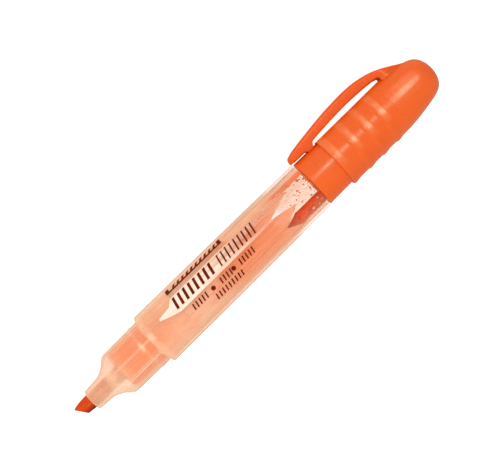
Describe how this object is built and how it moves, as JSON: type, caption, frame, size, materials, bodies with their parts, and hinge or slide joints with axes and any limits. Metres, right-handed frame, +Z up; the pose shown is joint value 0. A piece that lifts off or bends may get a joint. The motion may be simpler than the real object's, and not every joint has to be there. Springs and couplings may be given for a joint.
{
  "type": "highlighter pen",
  "caption": "Jumbo chisel-tip highlighter with a translucent barrel, a fibre ink reservoir and a ribbed clip cap posted on its tail.",
  "frame": {"origin": "bottom centre of the object's box: on the surface that the pen lies on, midway along it", "axes": "+X along the pen's axis from the nib to the cap's top, +Z up from the surface that it lies on, clip on the +Y side and tilted down onto the surface"},
  "size_m": [0.152, 0.023, 0.0184],
  "materials": {
    "barrel_clear": "glossy translucent peach",
    "section_clear": "glossy translucent peach",
    "nib_fibre": "bonded fibre wet with ink",
    "ink_fibre": "ink-soaked polyester fibre",
    "film_clear": "thin clear film",
    "breather_plastic": "natural plastic tube",
    "cap_orange": "glossy opaque orange",
    "liner_natural": "natural polyethylene"
  },
  "bodies": {
    "pen": {"barrel": "barrel_clear", "front_section": "section_clear", "chisel_nib": "nib_fibre", "reservoir_core": "ink_fibre", "reservoir_film": "film_clear", "breather_tube": "breather_plastic", "tail_plug": "cap_orange"},
    "cap_core": {"cap_inner_liner": "liner_natural"},
    "cap": {"cap_shell": "cap_orange"},
    "clip": {"cap_clip": "cap_orange"}
  },
  "joints": [
    {"name": "cap_slide", "type": "slide", "parent": "pen", "child": "cap_core", "axis": [1, 0, 0], "range_m": [0, 0.045]},
    {"name": "cap_turn", "type": "hinge", "parent": "cap_core", "child": "cap", "pos_m": [0.0482, -0.00227, 0.0092], "axis": [1, 0, 0], "continuous": true},
    {"name": "clip_flex", "type": "hinge", "parent": "cap", "child": "clip", "pos_m": [0.0632, 0.00687, 0.00467], "axis": [0, -0.4441, -0.896], "range_deg": [0, 5], "stiffness_Nm_per_rad": 1.5}
  ]
}
